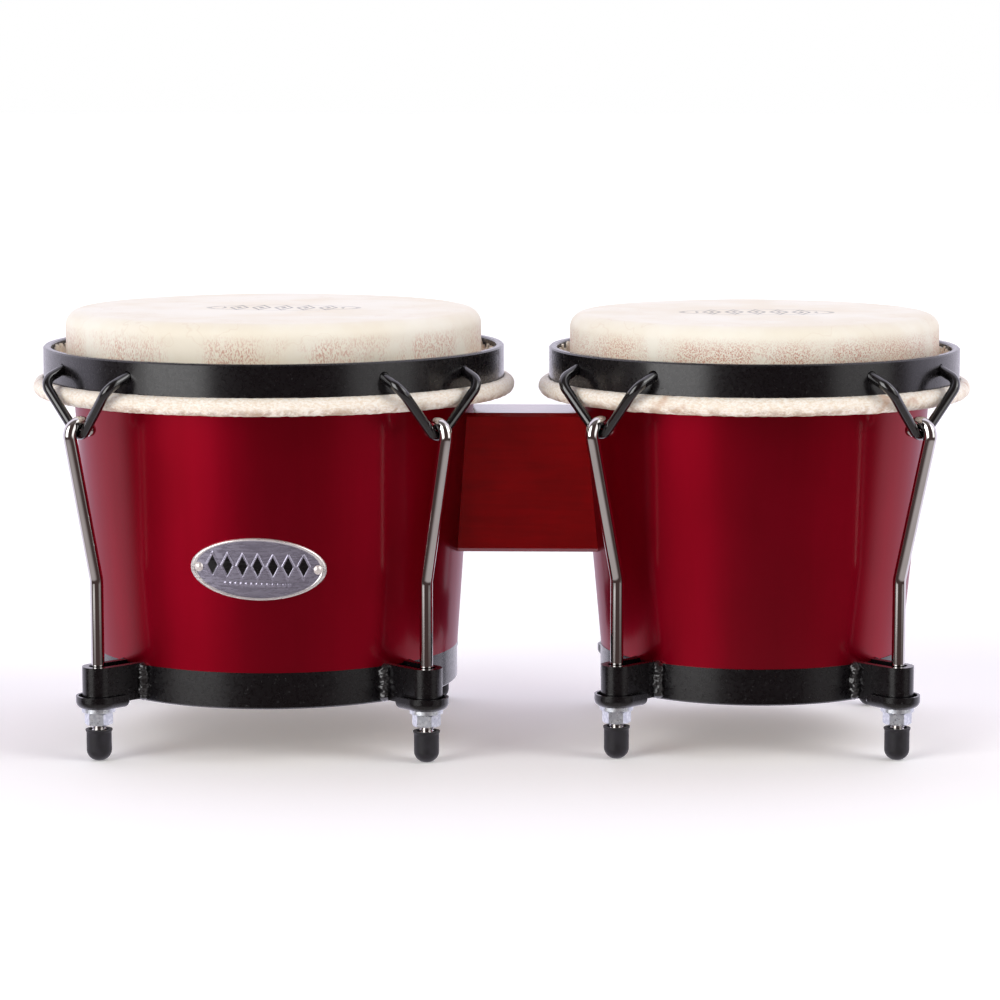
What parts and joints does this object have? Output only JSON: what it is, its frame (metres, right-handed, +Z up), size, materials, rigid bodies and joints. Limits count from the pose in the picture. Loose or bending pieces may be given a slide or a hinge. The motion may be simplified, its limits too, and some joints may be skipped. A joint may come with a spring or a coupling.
{
  "type": "bongo drums",
  "caption": "Joined pair of tapered lacquered wooden hand drums with rawhide heads, counter hoops, hooked tension rods, tuning nuts and rubber-capped rod feet.",
  "frame": {"origin": "centre of the bounding box at floor level, between the two drums", "axes": "+X runs from the large drum to the small drum, -Y is the badge side that faces the player's audience, +Z is up"},
  "size_m": [0.3862, 0.1988, 0.177],
  "materials": {
    "red_lacquer": "deep red high-gloss lacquer over turned wood",
    "block_lacquer": "red gloss lacquer over wood",
    "rawhide": "natural cream rawhide with faint pores and speckle",
    "black_coat": "black satin powder coat on steel",
    "black_wire": "black semi-gloss coat on steel wire",
    "chrome_rod": "chrome plated steel rod",
    "zinc": "bright zinc plated steel",
    "bare_steel": "plain steel, hidden",
    "foot_rubber": "soft matt black rubber",
    "badge_metal": null
  },
  "bodies": {
    "shells": {"large_shell": "red_lacquer", "large_head_skin": "rawhide", "large_bottom_ring": "black_coat", "large_lug_straps": "black_coat", "large_lug_welds": "black_coat", "large_lug_plates": "black_coat", "large_lug_washers": "zinc", "small_shell": "red_lacquer", "small_head_skin": "rawhide", "small_bottom_ring": "black_coat", "small_lug_straps": "black_coat", "small_lug_welds": "black_coat", "small_lug_plates": "black_coat", "small_lug_washers": "zinc", "centre_block": "block_lacquer", "block_bolts": "bare_steel", "block_washers": "bare_steel", "badge": "badge_metal", "badge_pins": "badge_metal"},
    "large_hoop_set": {"large_rawhide_wrap": "rawhide", "large_flesh_ring": "bare_steel", "large_counter_hoop": "black_coat", "large_hook_link_1": "black_wire", "large_tension_rod_1": "chrome_rod", "large_foot_cap_1": "foot_rubber", "large_hook_link_2": "black_wire", "large_tension_rod_2": "chrome_rod", "large_foot_cap_2": "foot_rubber", "large_hook_link_3": "black_wire", "large_tension_rod_3": "chrome_rod", "large_foot_cap_3": "foot_rubber", "large_hook_link_4": "black_wire", "large_tension_rod_4": "chrome_rod", "large_foot_cap_4": "foot_rubber"},
    "large_nut_1": {"large_tuning_nut_1": "zinc"},
    "large_nut_2": {"large_tuning_nut_2": "zinc"},
    "large_nut_3": {"large_tuning_nut_3": "zinc"},
    "large_nut_4": {"large_tuning_nut_4": "zinc"},
    "small_hoop_set": {"small_rawhide_wrap": "rawhide", "small_flesh_ring": "bare_steel", "small_counter_hoop": "black_coat", "small_hook_link_1": "black_wire", "small_tension_rod_1": "chrome_rod", "small_foot_cap_1": "foot_rubber", "small_hook_link_2": "black_wire", "small_tension_rod_2": "chrome_rod", "small_foot_cap_2": "foot_rubber", "small_hook_link_3": "black_wire", "small_tension_rod_3": "chrome_rod", "small_foot_cap_3": "foot_rubber", "small_hook_link_4": "black_wire", "small_tension_rod_4": "chrome_rod", "small_foot_cap_4": "foot_rubber"},
    "small_nut_1": {"small_tuning_nut_1": "zinc"},
    "small_nut_2": {"small_tuning_nut_2": "zinc"},
    "small_nut_3": {"small_tuning_nut_3": "zinc"},
    "small_nut_4": {"small_tuning_nut_4": "zinc"}
  },
  "joints": [
    {"name": "large_head_tuning", "type": "slide", "parent": "shells", "child": "large_hoop_set", "axis": [0, 0, -1], "range_m": [0, 0.003]},
    {"name": "large_nut_1_turn", "type": "hinge", "parent": "shells", "child": "large_nut_1", "pos_m": [-0.15951, -0.06576, 0.0172], "axis": [0, 0, 1], "range_deg": [-2, 1082]},
    {"name": "large_nut_2_turn", "type": "hinge", "parent": "shells", "child": "large_nut_2", "pos_m": [-0.02799, -0.06576, 0.0172], "axis": [0, 0, 1], "range_deg": [-2, 1082]},
    {"name": "large_nut_3_turn", "type": "hinge", "parent": "shells", "child": "large_nut_3", "pos_m": [-0.02973, 0.06746, 0.0172], "axis": [0, 0, 1], "range_deg": [-2, 1082]},
    {"name": "large_nut_4_turn", "type": "hinge", "parent": "shells", "child": "large_nut_4", "pos_m": [-0.15777, 0.06746, 0.0172], "axis": [0, 0, 1], "range_deg": [-2, 1082]},
    {"name": "small_head_tuning", "type": "slide", "parent": "shells", "child": "small_hoop_set", "axis": [0, 0, -1], "range_m": [0, 0.003]},
    {"name": "small_nut_1_turn", "type": "hinge", "parent": "shells", "child": "small_nut_1", "pos_m": [0.04806, -0.05629, 0.0172], "axis": [0, 0, 1], "range_deg": [-2, 1082]},
    {"name": "small_nut_2_turn", "type": "hinge", "parent": "shells", "child": "small_nut_2", "pos_m": [0.16064, -0.05629, 0.0172], "axis": [0, 0, 1], "range_deg": [-2, 1082]},
    {"name": "small_nut_3_turn", "type": "hinge", "parent": "shells", "child": "small_nut_3", "pos_m": [0.15914, 0.05774, 0.0172], "axis": [0, 0, 1], "range_deg": [-2, 1082]},
    {"name": "small_nut_4_turn", "type": "hinge", "parent": "shells", "child": "small_nut_4", "pos_m": [0.04956, 0.05774, 0.0172], "axis": [0, 0, 1], "range_deg": [-2, 1082]}
  ],
  "couplings": [
    {"joint": "large_nut_1_turn", "follows": "large_head_tuning", "rad_per_m": 6283.2},
    {"joint": "large_nut_2_turn", "follows": "large_head_tuning", "rad_per_m": 6283.2},
    {"joint": "large_nut_3_turn", "follows": "large_head_tuning", "rad_per_m": 6283.2},
    {"joint": "large_nut_4_turn", "follows": "large_head_tuning", "rad_per_m": 6283.2},
    {"joint": "small_nut_1_turn", "follows": "small_head_tuning", "rad_per_m": 6283.2},
    {"joint": "small_nut_2_turn", "follows": "small_head_tuning", "rad_per_m": 6283.2},
    {"joint": "small_nut_3_turn", "follows": "small_head_tuning", "rad_per_m": 6283.2},
    {"joint": "small_nut_4_turn", "follows": "small_head_tuning", "rad_per_m": 6283.2}
  ]
}
